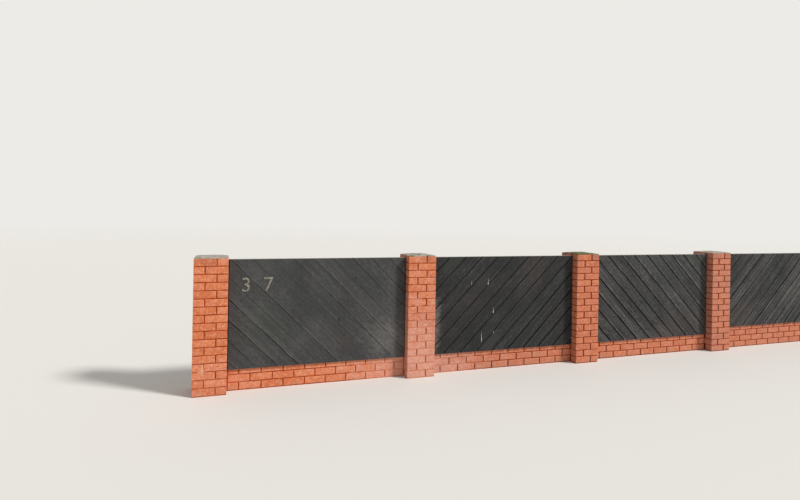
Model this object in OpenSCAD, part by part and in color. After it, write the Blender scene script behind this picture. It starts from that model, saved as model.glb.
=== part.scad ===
// Straight garden wall of square brick piers with low brick plinths between
// them, each bay filled with dark boards laid on the slant. The boards lean
// one way in the odd bays and the other way in the even bays.
// Origin: ground level, middle of the wall's length and depth.
// +X runs along the wall, +Z is up, the boarded front faces -Y.

/* [Brickwork] */
// height of one course of bricks with its bed joint, in mm
course_h = 86; // [70:1:100]
// courses in a pier, from the ground to the capping
pier_courses = 17; // [9:1:25]
// side of the square piers, a brick and a half
pier_side = 350; // [230:10:460]
// distance from one pier's middle to the next one's
bay_pitch = 2400; // [1500:10:3000]
// thickness of the plinth, a single skin of bricks
plinth_t = 110; // [90:1:230]
// courses in the plinth of the first bays
plinth_courses = 3; // [1:1:8]
// courses more in the plinth of the last bay, which steps up
step_courses = 1; // [0:1:3]

/* [Pier capping] */
// thickness of the cement capping at its outer edge
cap_edge = 9; // [4:1:40]
// rise of its slopes from the edge to the flat middle
cap_rise = 13; // [4:1:60]
// how far the capping stops short of the brick faces
cap_inset = 4; // [0:1:20]
// width of its flat middle
cap_flat = 170; // [40:5:300]

/* [Boards] */
// thickness of the slanting boards
board_t = 22; // [15:1:32]
// board width and one open joint, measured across the boards
board_pitch = 160; // [80:1:220]
// width of the open joint over the boards' rebates
joint_w = 12; // [3:1:16]
// depth of the open joint
joint_d = 12; // [4:1:16]
// eased arris along each board
arris = 2; // [0.5:0.5:5]
// slant of the boards from level, in degrees
board_slant = 45; // [30:1:60]
// how far the boards hang down over the face of the plinth
board_lap = 20; // [5:1:60]
// how far the boards stop below the brickwork of the piers
board_drop = 20; // [0:1:60]
// open gap between the boards' ends and each pier
end_gap = 10; // [2:1:25]

/* [Rails and battens] */
// height of the level rails behind the boards
rail_h = 75; // [45:1:120]
// depth of the rails and battens from front to back
rail_d = 50; // [35:1:75]
// width of the upright battens fixed to the piers
batten_w = 50; // [35:1:75]
// height of the middle rail's centre, as a share of the space between the others
mid_share = 0.5; // [0.3:0.05:0.7]

/* [Hidden] */
// number of bays between the five piers
bays = 4;
pier_h = pier_courses * course_h;
clear_w = bay_pitch - pier_side;
frame_w = clear_w - 2 * batten_w;
board_top = pier_h - board_drop;
board_w = clear_w - 2 * end_gap;
plinth_front = -plinth_t / 2;
board_front = plinth_front - board_t;
cap_w = pier_side - 2 * cap_inset;
// level distance between two joints, measured along the boards' top edge
joint_step = board_pitch / sin(board_slant);
// where the first joint meets each panel's top edge, from the panel's left end
first_joint = [240, 218, 225, 131];
// a joint that would cut off less than this at a corner is left out
corner_keep = 30;
// a groove is cut this much past the face that it opens in
over = 1;
// colours of the brickwork, capping, boards and framing
brick_rgb = [0.80, 0.47, 0.34];
cement_rgb = [0.58, 0.55, 0.50];
board_rgb = [0.25, 0.25, 0.24];
frame_rgb = [0.30, 0.29, 0.27];

// middle of pier i, counted from 1 at the left
function pier_x(i) = (i - 1 - bays / 2) * bay_pitch;
// middle of bay i
function bay_x(i) = pier_x(i) + bay_pitch / 2;
// top of the plinth in bay i
function plinth_top(i) = course_h * (plinth_courses + (i == bays ? step_courses : 0));
// height of the middle rail's underside in bay i
function mid_rail_z(i) =
    let (low = plinth_top(i) + rail_h, high = board_top - rail_h)
    low + (high - low) * mid_share - rail_h / 2;
// odd bays lean down to the right, even bays down to the left
function lean(i) = i % 2 == 1 ? 1 : -1;

// a block centred on x, with its front at y and its underside at z
module block(w, d, h, x, y, z) {
    translate([x - w / 2, y, z])
        cube([w, d, h]);
}

// square brick pier standing on the ground
module pier(i) {
    color(brick_rgb)
        block(pier_side, pier_side, pier_h, pier_x(i), -pier_side / 2, 0);
}

// cement capping, trowelled to slopes that shed water to all four sides
module pier_cap(i) {
    color(cement_rgb)
        translate([pier_x(i), 0, pier_h])
            union() {
                translate([-cap_w / 2, -cap_w / 2, 0])
                    cube([cap_w, cap_w, cap_edge]);
                translate([0, 0, cap_edge])
                    linear_extrude(height = cap_rise, scale = cap_flat / cap_w)
                        square(cap_w, center = true);
            }
}

// low brick plinth between two piers
module plinth(i) {
    color(brick_rgb)
        block(clear_w, plinth_t, plinth_top(i), bay_x(i), plinth_front, 0);
}

// section of one open joint: its two eased arrises and its square channel
module joint_section() {
    polygon([[-joint_w / 2 - arris - over, -over],
             [-joint_w / 2, arris],
             [-joint_w / 2, joint_d],
             [joint_w / 2, joint_d],
             [joint_w / 2, arris],
             [joint_w / 2 + arris + over, -over]]);
}

// boards laid on the slant, lapped at rebates and cut off level and upright
module board_panel(i) {
    foot = plinth_top(i) - board_lap;
    tall = board_top - foot;
    reach = tall / tan(board_slant);
    low_x = lean(i) > 0 ? -reach : 0;
    high_x = board_w + (lean(i) > 0 ? 0 : reach);
    first = ceil((low_x + corner_keep - first_joint[i - 1]) / joint_step);
    last = floor((high_x - corner_keep - first_joint[i - 1]) / joint_step);
    color(board_rgb)
        difference() {
            block(board_w, board_t, tall, bay_x(i), board_front, foot);
            for (n = [first : last])
                translate([bay_x(i) - board_w / 2 + first_joint[i - 1] + n * joint_step,
                           board_front, board_top])
                    rotate([0, -lean(i) * (90 - board_slant), 0])
                        linear_extrude(height = 2 * (tall + reach), center = true)
                            joint_section();
        }
}

// level rail between the two battens of a bay
module rail(i, z) {
    color(frame_rgb)
        block(frame_w, rail_d, rail_h, bay_x(i), plinth_front, z);
}

// upright batten fixed to the side of a pier, standing on the plinth
module batten(i, side) {
    color(frame_rgb)
        block(batten_w, rail_d, board_top - plinth_top(i),
              bay_x(i) + side * (clear_w - batten_w) / 2, plinth_front, plinth_top(i));
}

pier(1);  // pier_1
pier(2);  // pier_2
pier(3);  // pier_3
pier(4);  // pier_4
pier(5);  // pier_5
pier_cap(1);  // pier_cap_1
pier_cap(2);  // pier_cap_2
pier_cap(3);  // pier_cap_3
pier_cap(4);  // pier_cap_4
pier_cap(5);  // pier_cap_5
plinth(1);  // plinth_1
plinth(2);  // plinth_2
plinth(3);  // plinth_3
plinth(4);  // plinth_4
board_panel(1);  // board_panel_1
board_panel(2);  // board_panel_2
board_panel(3);  // board_panel_3
board_panel(4);  // board_panel_4
rail(1, board_top - rail_h);  // top_rail_1
rail(2, board_top - rail_h);  // top_rail_2
rail(3, board_top - rail_h);  // top_rail_3
rail(4, board_top - rail_h);  // top_rail_4
rail(1, mid_rail_z(1));  // middle_rail_1
rail(2, mid_rail_z(2));  // middle_rail_2
rail(3, mid_rail_z(3));  // middle_rail_3
rail(4, mid_rail_z(4));  // middle_rail_4
rail(1, plinth_top(1));  // bottom_rail_1
rail(2, plinth_top(2));  // bottom_rail_2
rail(3, plinth_top(3));  // bottom_rail_3
rail(4, plinth_top(4));  // bottom_rail_4
batten(1, -1);  // left_batten_1
batten(2, -1);  // left_batten_2
batten(3, -1);  // left_batten_3
batten(4, -1);  // left_batten_4
batten(1, 1);  // right_batten_1
batten(2, 1);  // right_batten_2
batten(3, 1);  // right_batten_3
batten(4, 1);  // right_batten_4
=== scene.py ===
"""Dresses the packed garden wall: bricks, mortar, slanting boards, framing, fixings and studio."""

import math
import random
from collections import namedtuple
from functools import partial

import bmesh
import bpy
import numpy as np
from bpy.props import FloatProperty, FloatVectorProperty, PointerProperty
from mathutils import Matrix, Vector, noise


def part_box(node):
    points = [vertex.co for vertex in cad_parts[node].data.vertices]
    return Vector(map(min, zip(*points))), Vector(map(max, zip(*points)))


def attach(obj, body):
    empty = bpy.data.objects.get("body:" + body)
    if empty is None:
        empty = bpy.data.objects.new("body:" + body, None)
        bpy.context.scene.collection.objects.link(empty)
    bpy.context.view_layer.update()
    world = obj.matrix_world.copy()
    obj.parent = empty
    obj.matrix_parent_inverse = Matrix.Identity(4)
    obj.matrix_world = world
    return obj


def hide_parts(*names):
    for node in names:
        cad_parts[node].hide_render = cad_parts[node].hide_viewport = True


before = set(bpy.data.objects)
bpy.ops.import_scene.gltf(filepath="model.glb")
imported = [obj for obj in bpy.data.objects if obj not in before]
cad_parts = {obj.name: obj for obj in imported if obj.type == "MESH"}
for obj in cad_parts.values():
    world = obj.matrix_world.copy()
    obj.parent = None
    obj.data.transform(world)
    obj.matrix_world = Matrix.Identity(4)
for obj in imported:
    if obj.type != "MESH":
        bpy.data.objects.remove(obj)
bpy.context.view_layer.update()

bl_info = {
    "name": "Brick Garden Wall",
    "version": (1, 0, 0),
    "blender": (4, 5, 0),
    "location": "3D View > Sidebar > Garden Wall",
    "description": "Builds the bricks, boards and fixings of a boarded brick garden wall",
    "category": "Object",
}

BODY = "root"
BAYS = sum(name.startswith("board_panel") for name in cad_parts)
BAY_NUMBERS = range(1, BAYS + 1)
MM = 0.001
# places this near to each other count as the same: as laid, after a cut or a join, and after bending
TOUCH, CUT_TOUCH, BENT_TOUCH = 1e-6, 1e-5, 1e-4


def linear(colour):
    """Linear RGB of an sRGB hex colour, or the colour of a setting as it is."""
    if not isinstance(colour, str):
        return tuple(colour)
    parts = [int(colour[i : i + 2], 16) / 255 for i in (1, 3, 5)]
    return tuple(p / 12.92 if p <= 0.04045 else ((p + 0.055) / 1.055) ** 2.4 for p in parts)


def metres(name, description, default):
    """A size for the sidebar."""
    return FloatProperty(name=name, description=description, default=default, unit="LENGTH", precision=4)


def radians(name, description, default):
    """An angle for the sidebar."""
    return FloatProperty(name=name, description=description, default=default, unit="ROTATION")


def tint(name, description, colour):
    """A colour for the sidebar."""
    settings = {"default": linear(colour), "subtype": "COLOR", "min": 0, "max": 1}
    return FloatVectorProperty(name=name, description=description, **settings)


# settings


class BrickworkSettings(bpy.types.PropertyGroup):
    """Sizes and colours of the bricks and their joints."""

    course: metres("Course", "Height of a course with its bed joint", 0.086)
    joint: metres("Bed joint", "Height of the level joints", 0.010)
    upright_joint: metres("Upright joint", "Usual width of the upright joints", 0.014)
    module: metres("Brick module", "Length of a brick with one upright joint", 0.240)
    brick_wide: metres("Brick width", "Width of a brick", 0.110)
    rake: metres("Rake", "How far the mortar usually stands back in the upright joints", 0.009)
    bed_fill: metres("Bed fill", "How much nearer to the face the mortar is along the beds", 0.0055)
    bed_hollow: metres("Bed hollow", "Depth of the hollow along the beds", 0.001)
    arris: metres("Arris", "Radius of a brick's worn edges", 0.0025)
    clay: tint("Clay", "Usual colour of the bricks", "#CD7247")
    clay_deep: tint("Deep clay", "Colour of the harder-fired bricks", "#C0643B")
    clay_pale: tint("Pale clay", "Colour of the paler, pinker bricks", "#D7835D")
    mortar: tint("Mortar", "Colour of the tinted mortar", "#A63E12")
    capping: tint("Capping", "Colour of the cement capping", "#A39A8E")
    moss: tint("Moss", "Colour of the growth on the cappings", "#5E5C3B")
    # colour of the paler, pinker patch low on the second pier
    slurry: tint("Slurry", "Colour of the lime slurry low on the second pier", "#D6B0A5")


class BoardSettings(bpy.types.PropertyGroup):
    """Sizes and colours of the slanting boards."""

    pitch: metres("Board pitch", "Board width and one open joint, across the boards", 0.160)
    open_joint: metres("Open joint", "Width of the joint over the rebates", 0.012)
    joint_depth: metres("Joint depth", "Depth of the open joint", 0.012)
    arris: metres("Arris", "Eased edge along each board", 0.002)
    lap: metres("Lap", "How far a board's tongue passes under the next board", 0.005)
    slant: radians("Slant", "Slant of the boards from level", math.radians(45))
    stain: tint("Stain", "Usual colour of the stained boards", "#3D3D3D")
    stain_deep: tint("Deep stain", "Colour of the freshest stain", "#262626")
    stain_worn: tint("Worn stain", "Colour where the stain has weathered", "#6A6865")
    end_grain: tint("End grain", "Colour of the weathered sawn ends", "#8E897F")


class FixingSettings(bpy.types.PropertyGroup):
    """Sizes and colours of nails, anchors and numerals."""

    nail_head: metres("Nail head", "Diameter of a nail's head", 0.008)
    anchor_head: metres("Anchor head", "Width across the flats of an anchor's head", 0.013)
    washer: metres("Washer", "Diameter of the washers under the anchors", 0.026)
    numeral_height: metres("Numeral height", "Height of the house numerals", 0.158)
    numeral_thickness: metres("Numeral thickness", "Thickness of the house numerals", 0.005)
    numeral: tint("Numeral", "Colour of the house numerals", "#938D7E")


class StageSettings(bpy.types.PropertyGroup):
    """Camera and floor."""

    camera_place: FloatVectorProperty(
        name="Camera place",
        description="Place of the camera",
        default=(-4.625, -5.986, 1.976),
        subtype="TRANSLATION",
    )
    camera_turn: radians("Camera turn", "Turn of the camera to the right", 0.3198)
    camera_roll: radians("Camera roll", "Roll of the camera", 0.0174)
    lens: FloatProperty(name="Lens", description="Focal length of the camera", default=23.17, unit="CAMERA")
    shift: FloatProperty(name="Shift", description="Upward shift of the frame", default=-0.0456)
    floor: tint("Floor", "Colour of the floor", "#D9D6D0")


# mesh helpers


def box_lattice(lines):
    """The points where lines along X, Y and Z meet on a box's skin, their line numbers, and outward faces."""
    numbers = {}
    faces = []
    for axis, (a, b) in enumerate(((1, 2), (0, 2), (0, 1))):
        for end in (0, len(lines[axis]) - 1):
            corners = ((0, 0), (0, 1), (1, 1), (1, 0))
            # run the other way round where that would face inward
            if (end == 0) == (axis == 1):
                corners = ((0, 0), (1, 0), (1, 1), (0, 1))
            for i, j in np.ndindex(len(lines[a]) - 1, len(lines[b]) - 1):
                face = []
                for right, up in corners:
                    key = [end, end, end]
                    key[a], key[b] = i + right, j + up
                    face.append(numbers.setdefault(tuple(key), len(numbers)))
                faces.append(face)
    index = np.array(list(numbers))
    points = np.stack([line[index[:, axis]] for axis, line in enumerate(lines)], axis=1)
    return points, index, np.array(faces)


def edge_lines(low, high, radius, step, band=0.003):
    """Lattice lines along one side of a box: its rounded edges, a narrow band inside each, and even steps."""
    inset = radius + band
    cells = max(1, round((high - low - 2 * inset) / step))
    between = np.linspace(low + inset, high - inset, cells + 1)
    return np.concatenate([[low, low + radius], between, [high - radius, high]])


def rounded_box(lines, radius):
    """Points, outward normals, distances to the nearest arris, and faces of a box with rounded arrises."""
    points, _, faces = box_lattice(lines)
    low, high = (np.array([line[end] for line in lines]) for end in (0, -1))
    to_arris = np.sort(np.minimum(points - low, high - points), axis=1)[:, 1]
    core = np.clip(points, low + radius, high - radius)
    out = points - core
    normals = out / np.linalg.norm(out, axis=1)[:, None]
    return core + normals * radius, normals, to_arris, faces


def skin(rows, count):
    """The faces of a closed solid through rows of points, each row running round it."""
    faces = []
    for a, b in np.ndindex(rows - 1, count):
        first, second = a * count + b, a * count + (b + 1) % count
        faces.append((first, second, second + count, first + count))
    return [*faces, range(count)[::-1], range((rows - 1) * count, rows * count)]


def ripple(points, size, seed):
    """Smooth noise from -1 to 1 at each point, with features of about the given size."""
    shift = Vector((seed * 3.17, seed * 5.31, seed * 7.73))
    return np.array([noise.noise(Vector(p) / size + shift) for p in points])


def waves(points, seed, table):
    """The sum of several ripples, each with its height, its size and what it adds to the seed."""
    return sum(height * ripple(points, size, seed + own) for height, size, own in table)


def new_object(name, data):
    """A new object in the scene."""
    made = bpy.data.objects.new(name, data)
    bpy.context.scene.collection.objects.link(made)
    return made


class Heap:
    """Collects the solids of one piece and their point values, and makes them one mesh."""

    def __init__(self, *values):
        self.points = []
        self.faces = []
        self.kinds = []
        self.values = {name: [] for name in values}
        self.count = 0

    def add(self, points, faces, kinds=None, **values):
        """Adds one solid. kinds holds each face's place in the piece's list of materials. Of the values, only
        those that the heap was made for are kept."""
        self.points.append(points)
        self.faces.extend(tuple(int(i) + self.count for i in face) for face in faces)
        self.kinds.extend([0] * len(faces) if kinds is None else kinds)
        for name, stored in self.values.items():
            value = np.asarray(values.get(name, 0.0), float)
            stored.append(np.full(len(points), float(value)) if value.ndim == 0 else value)
        self.count += len(points)

    def piece(self, name, materials, replaced=(), sharp=40):
        """One object on the wall's body, smooth but at edges sharper than the given angle, in degrees."""
        mesh = bpy.data.meshes.new(name)
        mesh.from_pydata(np.concatenate(self.points).tolist(), [], self.faces)
        mesh.polygons.foreach_set("material_index", self.kinds)
        mesh.polygons.foreach_set("use_smooth", [True] * len(self.faces))
        for material in materials:
            mesh.materials.append(material)
        for value_name, stored in self.values.items():
            data = np.concatenate(stored)
            kind, key = ("FLOAT", "value") if data.ndim == 1 else ("FLOAT_VECTOR", "vector")
            attribute = mesh.attributes.new(value_name, kind, "POINT")
            attribute.data.foreach_set(key, data.astype(np.float32).ravel())
        mesh.set_sharp_from_angle(angle=math.radians(sharp))
        mesh.validate()
        made = new_object(name, mesh)
        if replaced:
            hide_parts(*replaced)
        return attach(made, BODY)


# materials

# sockets of the Mix node by their places
FACTOR, FIRST, SECOND, RESULT = 0, 6, 7, 2


def add_node(tree, kind, inputs=(), stops=(), **settings):
    """Adds a node with its values or links, its colour stops and its settings, and returns its outputs."""
    made = tree.nodes.new("ShaderNode" + kind)
    for key, value in settings.items():
        setattr(made, key, value)
    for place, (position, colour) in enumerate(stops):
        elements = made.color_ramp.elements
        stop = elements[place] if place < len(elements) else elements.new(position)
        stop.position = position
        stop.color = (*linear(colour), 1.0)
    for key, value in inputs.items() if isinstance(inputs, dict) else enumerate(inputs):
        socket = made.inputs[key]
        if isinstance(value, bpy.types.NodeSocket):
            tree.links.new(value, socket)
        else:
            socket.default_value = (*linear(value), 1.0) if socket.type == "RGBA" else value
    return made.outputs


def new_material(name, *values):
    """A new material, the function that adds its nodes, the piece's coordinates and its point values."""
    made = bpy.data.materials.new(name)
    made.use_nodes = True
    made.node_tree.nodes.clear()
    node = partial(add_node, made.node_tree)
    fields = [node("Attribute", attribute_name=value)["Fac"] for value in values]
    return made, node, node("TexCoord")["Object"], *fields


def layered(node, base, *layers):
    """Lays colours over a base, each where a value passes from one level to another, up to a share."""
    for value, low, high, share, colour in layers:
        amount = node("MapRange", {"Value": value, "From Min": low, "From Max": high, "To Max": share})[0]
        base = node("Mix", {FACTOR: amount, FIRST: base, SECOND: colour}, data_type="RGBA")[RESULT]
    return base


def finished(made, node, colour, height, depth, roughness, specular=0.25, metallic=0.0):
    """Gives the material its shader, with a relief of the given depth in metres."""
    bump = node("Bump", {"Height": height, "Distance": depth})[0]
    inputs = {"Base Color": colour, "Normal": bump, "Roughness": roughness}
    inputs.update({"Specular IOR Level": specular, "Metallic": metallic})
    node("OutputMaterial", {"Surface": node("BsdfPrincipled", inputs)[0]})
    return made


def brick_material(look):
    """Fired clay, wire-cut and sand-faced: dull and gritty, each brick its own shade, pale where worn."""
    made, node, place, tone, wear, smear, film, slurry = new_material(
        "fired_clay_wire_cut", "tone", "wear", "smear", "film", "slurry"
    )
    # every brick draws on its own part of the patterns
    own = node("VectorMath", (tone, (9.0, 5.0, 3.0), place), operation="MULTIPLY_ADD")[0]
    shade = node("ValToRGB", (tone,), ((0.0, look.clay_deep), (0.5, look.clay), (1.0, look.clay_pale)))
    # kiln bloom in patches of about 70 mm
    bloom = node("TexNoise", {"Vector": own, "Scale": 1 / 0.07, "Detail": 4.0})["Fac"]
    # rosy and deep mottling of the fired face, 20 to 30 mm across
    mottle = node("TexNoise", {"Vector": own, "Scale": 1 / 0.028, "Detail": 3.0, "Roughness": 0.6})["Fac"]
    # sand of 1 to 2 mm, drawn at 4 mm so that it shows
    grit = node("TexNoise", {"Vector": own, "Scale": 1 / 0.004, "Detail": 3.0, "Roughness": 0.7})["Fac"]
    # drag marks of the cutting wire, 5 mm apart and 60 mm long
    dragged = node("Mapping", {"Vector": own, "Scale": (1.0, 1.0, 12.0)})[0]
    drag = node("TexNoise", {"Vector": dragged, "Scale": 1 / 0.06, "Detail": 3.0})["Fac"]
    # pits and burnt iron specks of 2 to 3 mm, some 20 mm apart
    pits = node("TexVoronoi", {"Vector": own, "Scale": 1 / 0.02})["Distance"]
    # grime that runs on from brick to brick below the capping, and dust splashed up at the foot
    stain = node("TexNoise", {"Vector": place, "Scale": 1 / 0.12, "Detail": 6.0, "Roughness": 0.6})["Fac"]
    height = node("SeparateXYZ", (place,))["Z"]
    under_cap, splashed = (
        node("MapRange", {"Value": height, "From Min": start, "From Max": end, "To Max": share})[0]
        for start, end, share in ((1.2, 1.46, 0.28), (0.09, 0.0, 0.3))
    )
    grime = node("Math", (stain, under_cap), operation="ADD")[0]
    dust = node("Math", (stain, splashed), operation="ADD")[0]
    rubbed = node("Math", (wear, bloom), operation="MULTIPLY")[0]
    lime = node("Math", (smear, grit, -0.3), operation="MULTIPLY_ADD")[0]
    filmed = node("Math", (film, stain), operation="MULTIPLY")[0]
    mottled = node("Math", (mottle, 0.35), operation="ADD")[0]
    patched = node("Math", (slurry, mottled), operation="MULTIPLY")[0]
    colour = layered(
        node,
        shade[0],
        (bloom, 0.5, 0.7, 0.5, "#D98F79"),
        (mottle, 0.5, 0.68, 0.52, "#E5A384"),
        (mottle, 0.48, 0.32, 0.52, "#AC5431"),
        (drag, 0.5, 0.75, 0.42, "#DC9068"),
        (drag, 0.45, 0.25, 0.42, "#B4603D"),
        (grit, 0.55, 0.8, 0.36, "#E5AA8A"),
        (grit, 0.42, 0.25, 0.45, "#9C4F30"),
        (pits, 0.13, 0.07, 0.6, "#6E3624"),
        (rubbed, 0.1, 0.6, 0.7, "#E7A886"),
        (grime, 0.66, 0.95, 0.5, "#7E5340"),
        (dust, 0.62, 0.9, 0.6, "#A98A70"),
        (filmed, 0.0, 1.0, 0.6, "#A2786D"),
        # paler, pinker bricks where the pale patch lies
        (patched, 0.0, 1.0, 0.45, look.slurry),
        (lime, 0.0, 0.3, 0.6, "#E2BB9C"),
    )
    relief = node("Math", (pits, grit), operation="ADD")[0]
    lined = node("Math", (drag, 0.6, relief), operation="MULTIPLY_ADD")[0]
    return finished(made, node, colour, lined, 0.0011, 0.9)


def mortar_material(look):
    """Red-tinted cement mortar, raked out: darker than the bricks, sandy and matt."""
    made, node, place, smear, dirt, slurry = new_material("tinted_mortar_raked", "smear", "dirt", "slurry")
    blotch = node("TexNoise", {"Vector": place, "Scale": 1 / 0.06, "Detail": 6.0})["Fac"]
    # sand of about 2 mm, drawn at 4 mm so that it shows
    sand = node("TexNoise", {"Vector": place, "Scale": 1 / 0.004, "Detail": 3.0, "Roughness": 0.7})["Fac"]
    shade = node("ValToRGB", (blotch,), ((0.3, "#6A2208"), (0.52, look.mortar), (0.8, "#AC572C")))
    colour = layered(
        node,
        shade[0],
        (sand, 0.55, 0.75, 0.4, "#B9744C"),
        (sand, 0.42, 0.25, 0.4, "#4E1C08"),
        # painted shade: the joints are darkened where shade falls into them, most of all in the upright
        # joints
        (dirt, 0.0, 1.0, 0.75, "#691A00"),
        # paler, pinker mortar where the pale patch lies
        (slurry, 0.0, 0.6, 0.8, "#C98469"),
        (smear, 0.2, 0.9, 0.7, "#DDB598"),
    )
    return finished(made, node, colour, sand, 0.002, 0.95, 0.05)


def capping_material(look):
    """Cement mortar, trowelled and weathered: grey and sandy, with moss in its hollows and lichen spots."""
    made, node, place, growth = new_material("cement_mortar_trowelled", "growth")
    blotch = node("TexNoise", {"Vector": place, "Scale": 1 / 0.07, "Detail": 8.0, "Roughness": 0.65})["Fac"]
    shade = node("ValToRGB", (blotch,), ((0.3, "#77706A"), (0.52, look.capping), (0.75, "#BDB5A8")))
    # lichen rosettes of 3 to 8 mm, ragged at their edges
    scatter = node("TexNoise", {"Vector": place, "Scale": 1 / 0.012, "Detail": 3.0})["Color"]
    ragged = node("VectorMath", (scatter, (0.014, 0.014, 0.014), place), operation="MULTIPLY_ADD")[0]
    rosettes = node("TexVoronoi", {"Vector": ragged, "Scale": 1 / 0.035})
    large = node("SeparateXYZ", (rosettes["Color"],))[0]
    lichen = node("Math", (large, -0.2, rosettes["Distance"]), operation="MULTIPLY_ADD")[0]
    # tufts of moss about 6 mm across
    tuft = node("TexNoise", {"Vector": place, "Scale": 1 / 0.006, "Detail": 4.0})["Fac"]
    moss = node("ValToRGB", (tuft,), ((0.35, "#37331F"), (0.55, look.moss), (0.75, "#7F7A4E")))
    colour = layered(
        node,
        shade[0],
        (lichen, 0.06, 0.0, 0.55, "#C9C6B4"),
        (tuft, 0.45, 0.3, 0.4, "#5F5A52"),
        (growth, 0.0, 1.0, 1.0, moss[0]),
    )
    return finished(made, node, colour, tuft, 0.0025, 0.95)


# dead knots that show on the boards: place along the wall, height and radius, in metres
KNOTS = ((-3.395, 0.73, 0.009), (1.165, 1.095, 0.014))
# knots with a run of resin below them are drawn this much taller than wide
KNOT_TALL = 2.2


def timber_material(name, look, sawn):
    """Softwood under a near-black stain: grain and knots on the boards, saw marks on the framing."""
    values = ("tone", "wear", "recess", "spatter", "bands", "rings", "flecks")
    made, node, place, tone, wear, recess, spatter, *shares = new_material(name, *values)
    grain = node("Attribute", attribute_name="grain")["Vector"]
    sway = node("TexNoise", {"Vector": grain, "Scale": 1 / 0.25, "Detail": 1.0})["Color"]
    swayed = node("VectorMath", (sway, (0.0, 0.03, 0.0), grain), operation="MULTIPLY_ADD")[0]
    # patterns along the grain: where they are drawn, length and width in metres, detail and roughness
    patterns = [
        # bands of sapwood and heartwood, about 50 mm wide and more than a metre long
        (swayed, 1.4, 0.05, 2.0, 0.5),
        # growth rings 5 to 8 mm apart that run for half a metre, drawn at 12 mm so that they show
        (swayed, 0.5, 0.012, 4.0, 0.5),
        # raised fibres and dust in flecks about 20 mm wide and 40 mm long
        (grain, 0.04, 0.02, 3.0, 0.6),
        # drying checks, 2 mm wide and 80 mm long
        (swayed, 0.08, 0.004, 1.0, 0.5),
    ]
    if sawn:
        # kerf marks of the saw 4 mm apart across the timber, drawn at 8 mm so that they show
        patterns.append((grain, 0.008, 0.5, 2.0, 0.5))
    drawn = []
    for where, long, wide, detail, rough in patterns:
        laid = node("Mapping", {"Vector": where, "Scale": (1 / long, 1 / wide, 1.0)})[0]
        inputs = {"Vector": laid, "Scale": 1.0, "Detail": detail, "Roughness": rough}
        drawn.append(node("TexNoise", inputs)["Fac"])
    bands, rings, flecks, checks, *kerf = drawn
    patch = node("TexNoise", {"Vector": place, "Scale": 1 / 0.5, "Detail": 6.0, "Roughness": 0.6})["Fac"]
    algae = node("TexNoise", {"Vector": place, "Scale": 1 / 0.9, "Detail": 3.0})["Fac"]
    # each pattern lifts or lowers the shade by its own share, which differs from bay to bay
    level = tone
    for pattern, share in zip((bands, rings, flecks, patch), (*shares, 0.4)):
        centred = node("Math", (pattern, -0.5), operation="ADD")[0]
        level = node("Math", (centred, share, level), operation="MULTIPLY_ADD")[0]
    shade = node("ValToRGB", (level,), ((0.2, look.stain_deep), (0.5, look.stain), (1.0, look.stain_worn)))
    # knots of up to 14 mm radius, on some boards only
    knots = node("TexVoronoi", {"Vector": swayed, "Scale": 1 / 0.45}, voronoi_dimensions="2D")
    chance = node("SeparateXYZ", (knots["Color"],))[0]
    knot = node("Math", (chance, -0.05, knots["Distance"]), operation="MULTIPLY_ADD")[0]
    rubbed = node("Math", (wear, patch), operation="MULTIPLY")[0]
    flattened = node("VectorMath", (place, (1.0, 0.0, 1 / KNOT_TALL)), operation="MULTIPLY")[0]
    spots = []
    for x, z, radius in KNOTS:
        apart = node("VectorMath", (flattened, (x, 0.0, z / KNOT_TALL)), operation="DISTANCE")["Value"]
        ragged = node("Math", (rings, radius, apart), operation="MULTIPLY_ADD")[0]
        spots.append((ragged, 1.7 * radius, 1.3 * radius, 0.8, "#1B1A19"))
    # the boards beside the second pier paler in soft specks of about 30 mm
    speck = node("TexNoise", {"Vector": place, "Scale": 1 / 0.03, "Detail": 5.0, "Roughness": 0.7})["Fac"]
    specked = node("Math", (spatter, speck), operation="MULTIPLY")[0]
    # painted highlight: faces that look up, such as the tops of the boards and rails, are painted paler
    upward = node("SeparateXYZ", (node("NewGeometry")["Normal"],))["Z"]
    colour = layered(
        node,
        shade[0],
        # painted highlight on the faces that look up
        (upward, 0.7, 0.95, 0.7, "#8F8A80"),
        (algae, 0.48, 0.3, 0.15, "#4A5144"),
        (algae, 0.52, 0.7, 0.3, "#594D46"),
        (checks, 0.3, 0.22, 0.5, "#232321"),
        (knot, -0.016, -0.022, 0.7, "#222120"),
        (rubbed, 0.15, 0.5, 0.7, "#8D897F"),
        (specked, 0.1, 0.7, 0.5, "#9E9993"),
        *spots,
        # painted shade, with some dirt: the walls and the floor of each open joint are painted near black
        (recess, 0.0, 1.0, 1.0, "#060606"),
    )
    height = node("Math", (rings, 1.0, checks), operation="MULTIPLY_ADD")[0]
    for marks in kerf:
        height = node("Math", (marks, 1.2, height), operation="MULTIPLY_ADD")[0]
    return finished(made, node, colour, height, 0.0009, 0.85 if sawn else 0.75, 0.2)


def end_grain_material(look):
    """Sawn softwood ends that have lost their stain: pale, silvery, finely ringed."""
    made, node, place = new_material("softwood_end_grain_weathered")
    rings = node("TexNoise", {"Vector": place, "Scale": 1 / 0.02, "Detail": 6.0})["Fac"]
    shade = node("ValToRGB", (rings,), ((0.3, "#5F5B54"), (0.6, look.end_grain), (0.8, "#A9A498")))
    return finished(made, node, shade[0], rings, 0.0008, 0.9)


def plain_material(name, dark, light, size, roughness, metallic=0.0):
    """A finish with two near shades in patches of the given size, in metres."""
    made, node, place = new_material(name)
    patch = node("TexNoise", {"Vector": place, "Scale": 1 / size, "Detail": 6.0})["Fac"]
    shade = node("ValToRGB", (patch,), ((0.35, dark), (0.65, light)))
    return finished(made, node, shade[0], patch, 0.0005, roughness, metallic=metallic)


# bricks and mortar

# how many differently worn bricks there are of each length
WEAR_KINDS = 12
# steps of the brick mesh along its length, its width and its height
BRICK_STEPS = (0.014, 0.045, 0.020)
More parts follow.
